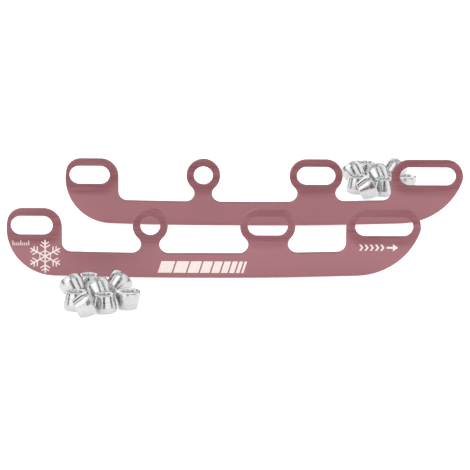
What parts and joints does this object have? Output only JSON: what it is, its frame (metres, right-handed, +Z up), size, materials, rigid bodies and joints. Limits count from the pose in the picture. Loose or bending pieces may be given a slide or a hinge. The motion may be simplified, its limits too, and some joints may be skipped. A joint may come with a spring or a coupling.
{
  "type": "ice runner blades for inline skates",
  "caption": "Ice runner blades for inline-skate frames: thin rockered plates with an axle hole and axle slots, with loose turned conical axle spacers piled beside them.",
  "frame": {"origin": "centre of the round axle hole of blade_a, halfway through the plate; the pieces stand on a floor at z = -0.0365 m", "axes": "+X from heel to toe of the blades, +Y along the axles, away from the viewer, +Z up from the running edge to the axle line"},
  "size_m": [0.3165, 0.3704, 0.0485],
  "materials": {
    "blade_coating": "dusty rose coating over steel with fine lengthwise brushing",
    "turned_aluminium": "bright turned aluminium, bare"
  },
  "bodies": {
    "blade_a": {"blade_a": "blade_coating"},
    "blade_b": {"blade_b": "blade_coating"},
    "spacer_a1": {"spacer_a1": "turned_aluminium"},
    "spacer_a2": {"spacer_a2": "turned_aluminium"},
    "spacer_a3": {"spacer_a3": "turned_aluminium"},
    "spacer_a4": {"spacer_a4": "turned_aluminium"},
    "spacer_a5": {"spacer_a5": "turned_aluminium"},
    "spacer_a6": {"spacer_a6": "turned_aluminium"},
    "spacer_a7": {"spacer_a7": "turned_aluminium"},
    "spacer_a8": {"spacer_a8": "turned_aluminium"},
    "spacer_b1": {"spacer_b1": "turned_aluminium"},
    "spacer_b2": {"spacer_b2": "turned_aluminium"},
    "spacer_b3": {"spacer_b3": "turned_aluminium"},
    "spacer_b4": {"spacer_b4": "turned_aluminium"},
    "spacer_b5": {"spacer_b5": "turned_aluminium"},
    "spacer_b6": {"spacer_b6": "turned_aluminium"},
    "spacer_b7": {"spacer_b7": "turned_aluminium"},
    "spacer_b8": {"spacer_b8": "turned_aluminium"}
  },
  "joints": [
    {"name": "blade_b_lift", "type": "slide", "parent": "blade_a", "child": "blade_b", "axis": [0, 0, 1], "range_m": [0, 0.06]},
    {"name": "spacer_a1_lift", "type": "slide", "parent": "blade_a", "child": "spacer_a1", "axis": [0, 0, 1], "range_m": [0, 0.03]},
    {"name": "spacer_a2_lift", "type": "slide", "parent": "blade_a", "child": "spacer_a2", "axis": [0, 0, 1], "range_m": [0, 0.03]},
    {"name": "spacer_a3_lift", "type": "slide", "parent": "blade_a", "child": "spacer_a3", "axis": [0, 0, 1], "range_m": [0, 0.03]},
    {"name": "spacer_a4_lift", "type": "slide", "parent": "blade_a", "child": "spacer_a4", "axis": [0, 0, 1], "range_m": [0, 0.03]},
    {"name": "spacer_a5_lift", "type": "slide", "parent": "blade_a", "child": "spacer_a5", "axis": [0, 0, 1], "range_m": [0, 0.03]},
    {"name": "spacer_a6_lift", "type": "slide", "parent": "blade_a", "child": "spacer_a6", "axis": [0, 0, 1], "range_m": [0, 0.03]},
    {"name": "spacer_a7_lift", "type": "slide", "parent": "blade_a", "child": "spacer_a7", "axis": [0, 0, 1], "range_m": [0, 0.03]},
    {"name": "spacer_a8_lift", "type": "slide", "parent": "blade_a", "child": "spacer_a8", "axis": [0, 0, 1], "range_m": [0, 0.03]},
    {"name": "spacer_b1_lift", "type": "slide", "parent": "blade_a", "child": "spacer_b1", "axis": [0, 0, 1], "range_m": [0, 0.03]},
    {"name": "spacer_b2_lift", "type": "slide", "parent": "blade_a", "child": "spacer_b2", "axis": [0, 0, 1], "range_m": [0, 0.03]},
    {"name": "spacer_b3_lift", "type": "slide", "parent": "blade_a", "child": "spacer_b3", "axis": [0, 0, 1], "range_m": [0, 0.03]},
    {"name": "spacer_b4_lift", "type": "slide", "parent": "blade_a", "child": "spacer_b4", "axis": [0, 0, 1], "range_m": [0, 0.03]},
    {"name": "spacer_b5_lift", "type": "slide", "parent": "blade_a", "child": "spacer_b5", "axis": [0, 0, 1], "range_m": [0, 0.03]},
    {"name": "spacer_b6_lift", "type": "slide", "parent": "blade_a", "child": "spacer_b6", "axis": [0, 0, 1], "range_m": [0, 0.03]},
    {"name": "spacer_b7_lift", "type": "slide", "parent": "blade_a", "child": "spacer_b7", "axis": [0, 0, 1], "range_m": [0, 0.03]},
    {"name": "spacer_b8_lift", "type": "slide", "parent": "blade_a", "child": "spacer_b8", "axis": [0, 0, 1], "range_m": [0, 0.03]}
  ]
}
